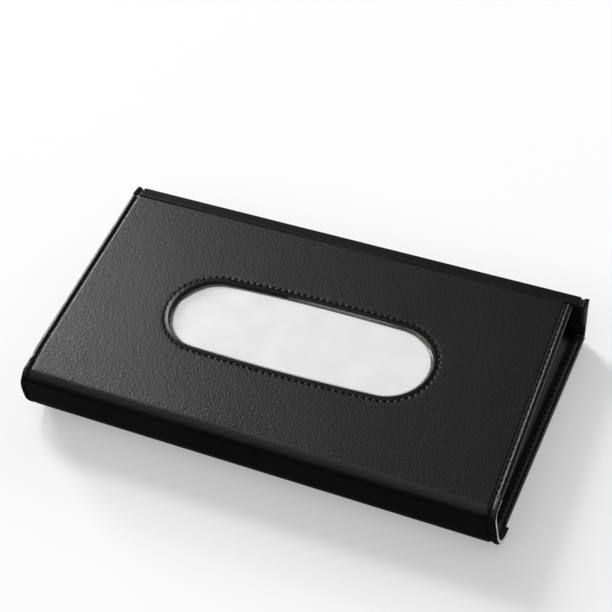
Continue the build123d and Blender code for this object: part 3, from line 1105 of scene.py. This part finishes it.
def build_flap_stitches():
    """A row round the flap's wall, and its other side on the inner face."""
    left, right = flap_low.x + STITCH_INSET, flap_high.x - STITCH_INSET
    low, high = flap_low.z + STITCH_INSET, TOP - FLAP_DROP - FLAP_CORNER - 1.5 * MM
    corners = [(left, high), (left, low), (right, low), (right, high)]
    outer = [Vector((x, flap_high.y - GROOVE_DEPTH, z)) for x, z in corners]
    stitch_row("flap_stitches_outer", "flap", outer, Vector((0, 1, 0)))
    inner = [Vector((x, flap_high.y - EDGE, z)) for x, z in corners]
    stitch_row("flap_stitches_inner", "flap", inner, Vector((0, -1, 0)))


def leather_strip(name, body, low, high):
    """A flat strip of leather along X between two corners, with rounded long edges."""
    corner = min(high.y - low.y, high.z - low.z) / 4
    outline = rounded_loop(low.y, high.y, low.z, high.z, corner, 4)
    loops = [[Vector((x, y, z)) for y, z in outline] for x in np.linspace(low.x, high.x, 24)]
    dress(loft(name, loops, LEATHER), body, "leather")


def build_back_and_flap():
    """The back panel's leather, the flap's, and the turned edges on both sides of the flap's hinge."""
    dress(back_leather(LEATHER), "back_shell", "leather", "back_panel_skin")
    dress(flap_leather(LEATHER), "flap", "leather", "flap_skin")
    lining_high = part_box("flap_lining")[1]
    board_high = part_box("front_board")[1]
    leather_strip(
        "flap_turned_edge", "flap",
        Vector((flap_low.x + 10 * GAP, flap_high.y - EDGE + GAP, lining_high.z - 10 * GAP)),
        Vector((flap_high.x - 10 * GAP, lining_high.y, TOP - FLAP_DROP - SOFT_LEATHER)),
    )
    leather_strip(
        "front_turned_edge", "front_cover",
        Vector((cover_low.x + 10 * GAP, board_high.y - GAP, TOP - EDGE + GAP)),
        Vector((cover_high.x - 10 * GAP, cover_high.y - GAP, TOP - SKIN - GAP)),
    )


def build_gussets():
    """Both side gussets, which run between the back shell and the front cover."""
    for name, side in (("left", -1), ("right", 1)):
        obj = gusset("gusset_" + name, side, GUSSET_LEATHER)
        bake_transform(obj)
        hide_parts("gusset_lower_" + name, "gusset_upper_" + name)


def build_tissues():
    """The folded tissues and the loosened first one."""
    dress(tissue_pile(PILE), "back_shell", "tissue", "tissue_stack")
    tissue = dress(top_tissue(TISSUE), "back_shell", "tissue", "top_tissue")


def build_straps():
    """Two elastic straps, each as two halves that stretch away from their sewn ends."""
    for body in ("strap_left", "strap_right"):
        strap_half(body + "_front_half", body, 1, WEBBING)
        strap_half(body + "_back_half", body, -1, WEBBING)


def finish_cad_nodes():
    """Materials of the modelled pieces that stay as they are, by a word of their names."""
    finishes = {
        "board": BOARD, "lining": LINING, "stiffener": STIFFENER, "closure": LEATHER, "magnet": MAGNET
    }
    for name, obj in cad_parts.items():
        for word in name.split("_"):
            if word in finishes:
                obj.data.materials.clear()
                obj.data.materials.append(finishes[word])
    coat_stiffener(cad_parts["spine_stiffener"])


def coat_stiffener(obj):
    """Darkens the stiffener's faces, so that only the cut edges of the white sheet show."""
    obj.data.materials.append(LINING)
    for face in obj.data.polygons:
        face.material_index = int(abs(face.normal.x) < 0.7)


# Stage, light and camera

def floor_lift(tree):
    """The share by which the floor is lifted to white: small beside the case, so that its shadow stays."""
    half = ((cad_high[0] - cad_low[0]) / 2, (cad_high[1] - cad_low[1]) / 2, BASE)
    place = add_node(tree, "ShaderNodeTexCoord").outputs["Object"]
    away = combine(tree, "VectorMath", "ABSOLUTE", place)
    outside = combine(tree, "VectorMath", "SUBTRACT", away, half)
    beyond = combine(tree, "VectorMath", "MAXIMUM", outside, (0, 0, 0))
    reach = {"From Max": LIFT_REACH, "To Min": LIFT_NEAR, "To Max": LIFT_FAR}
    lift = add_node(tree, "ShaderNodeMapRange", reach, interpolation_type="SMOOTHSTEP")
    tree.links.new(combine(tree, "VectorMath", "LENGTH", beyond), lift.inputs["Value"])
    path = add_node(tree, "ShaderNodeLightPath").outputs
    seen = combine(tree, "Math", "MAXIMUM", path["Is Camera Ray"], path["Is Glossy Ray"])
    seen = combine(tree, "Math", "MAXIMUM", seen, path["Is Transmission Ray"])
    return combine(tree, "Math", "MULTIPLY", seen, lift.outputs["Result"])


def build_stage():
    """A pale floor with far low walls, lifted towards white so that the object's shadow stays light."""
    material, tree, shader = node_material("pale_floor", 1.0, 0.0)
    cloud = texture(tree, "Noise", {"Scale": 3.0})
    paint(tree, shader, cloud, (0.3, (0.90, 0.90, 0.90)), (0.7, (0.92, 0.92, 0.92)))
    white = add_node(tree, "ShaderNodeEmission", {"Color": (1, 1, 1, 1), "Strength": 1.0})
    mix = add_node(tree, "ShaderNodeMixShader")
    tree.links.new(floor_lift(tree), mix.inputs["Fac"])
    tree.links.new(shader.outputs["BSDF"], mix.inputs[1])
    tree.links.new(white.outputs["Emission"], mix.inputs[2])
    tree.links.new(mix.outputs["Shader"], tree.nodes["Material Output"].inputs["Surface"])
    far = FLOOR_SIZE
    plan = [(-far, -far), (far, -far), (far, far), (-far, far)]
    corners = [(x, y, z) for z in (0, WALL_HEIGHT) for x, y in plan]
    walls = [(i, (i + 1) % 4, (i + 1) % 4 + 4, i + 4) for i in range(4)]
    make_mesh("floor", corners, [(0, 1, 2, 3)] + walls, material, smooth=False)


def build_lights():
    """Distant soft boxes on the left, right, front, back and overhead, and a dim world."""
    for name, (place, aim, size, power) in LIGHTS.items():
        data = bpy.data.lights.new(name, "AREA")
        data.shape = "RECTANGLE"
        data.size, data.size_y = size
        data.energy = power
        light = add_object(name, data)
        light.location = place
        light.rotation_mode = "QUATERNION"
        light.rotation_quaternion = (Vector(aim) - Vector(place)).to_track_quat("-Z", "Y")
    world = bpy.data.worlds.new("world")
    bpy.context.scene.world = world
    world.use_nodes = True
    background = world.node_tree.nodes["Background"]
    background.inputs["Color"].default_value = (1, 1, 1, 1)
    background.inputs["Strength"].default_value = WORLD_LIGHT


def build_camera():
    """The camera at the photograph's angle and distance."""
    turn = Matrix.Rotation(-CAMERA_YAW, 3, "Z")
    tilt = Matrix.Rotation(math.pi / 2 + CAMERA_PITCH, 3, "X")
    axes = Matrix.Rotation(CAMERA_ROLL, 3, "Z") @ tilt @ turn
    right, down, forward = axes
    matrix = Matrix((right, -down, -forward)).transposed().to_4x4()
    matrix.translation = Vector((0, 0, BASE)) - axes.transposed() @ CAMERA_OFFSET
    data = bpy.data.cameras.new("camera")
    data.lens = CAMERA_LENS
    data.clip_start, data.clip_end = 0.05, 50
    camera = add_object("camera", data)
    camera.matrix_world = matrix
    bpy.context.scene.camera = camera


build_camera()
build_stage()
build_lights()
build_cover()
build_back_and_flap()
build_gussets()
build_stitches()
build_tissues()
build_straps()
finish_cad_nodes()
bpy.context.scene.view_settings.view_transform = "Standard"
